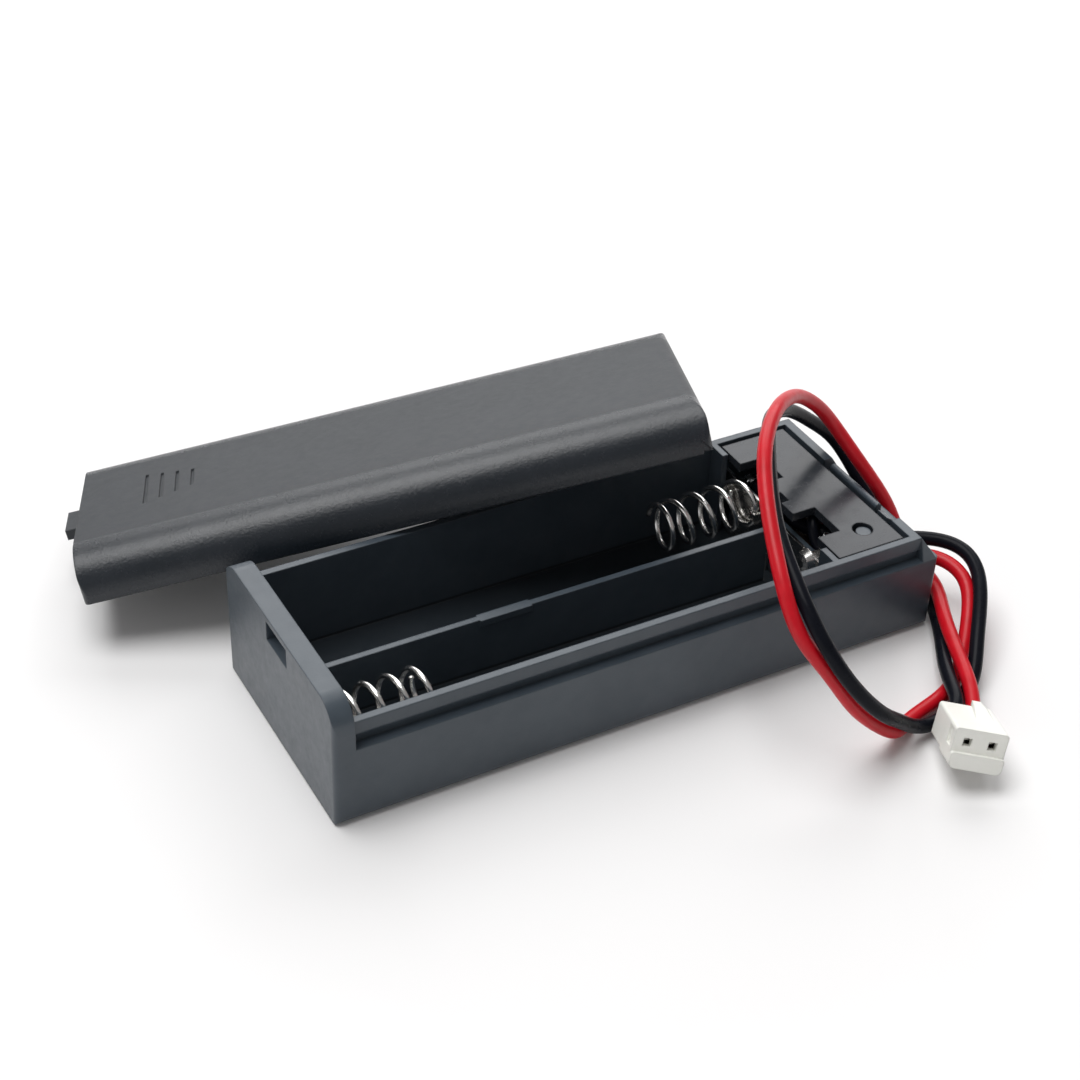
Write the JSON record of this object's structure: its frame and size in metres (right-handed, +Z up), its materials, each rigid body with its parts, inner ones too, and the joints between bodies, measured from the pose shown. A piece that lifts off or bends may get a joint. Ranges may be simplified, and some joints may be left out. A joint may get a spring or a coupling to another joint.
{
  "type": "cylindrical cell holder",
  "caption": "Open black holder for AAA cells side by side, with spring contacts, a slide switch, a lid that leans on it, and a red and a black lead to a small plug.",
  "frame": {"origin": "centre of the case's bottom face", "axes": "+X along the cells to the end where the leads leave, +Y to the back where the lid leans, +Z up"},
  "size_m": [0.0857, 0.0828, 0.0266],
  "materials": {
    "case_plastic": "satin moulded ABS",
    "lid_plastic": "fine spark-eroded texture",
    "plate_plastic": "smooth moulded ABS",
    "nickel": "bright nickel plate",
    "spring_wire": "bright nickel plate on drawn wire",
    "solder": "tin solder",
    "switch_steel": "plated steel sheet",
    "switch_base": "phenolic sheet",
    "knob_plastic": "satin",
    "wiper_bronze": "phosphor bronze",
    "red_pvc": "soft glossy PVC",
    "black_pvc": "soft glossy PVC",
    "plug_nylon": "natural nylon"
  },
  "bodies": {
    "holder": {"case": "case_plastic", "lid": "lid_plastic", "insert_plate": "plate_plastic", "link_contact": "nickel", "positive_contact": "nickel", "negative_contact": "nickel", "front_spring": "spring_wire", "back_spring": "spring_wire", "switch_shell": "switch_steel", "switch_base": "switch_base", "switch_terminal_1": "nickel", "switch_terminal_2": "nickel", "switch_terminal_3": "nickel", "jumper_wire": "black_pvc", "solder_positive": "solder", "solder_negative": "solder", "solder_switch_1": "solder", "solder_switch_2": "solder", "wire_red": "red_pvc", "wire_black": "black_pvc", "plug_housing": "plug_nylon", "crimp_red": "nickel", "crimp_black": "nickel"},
    "knob": {"switch_slider": "knob_plastic", "switch_wiper": "wiper_bronze"}
  },
  "joints": [
    {"name": "switch_slide", "type": "slide", "parent": "holder", "child": "knob", "axis": [0, 1, 0], "range_m": [0, 0.002]}
  ]
}
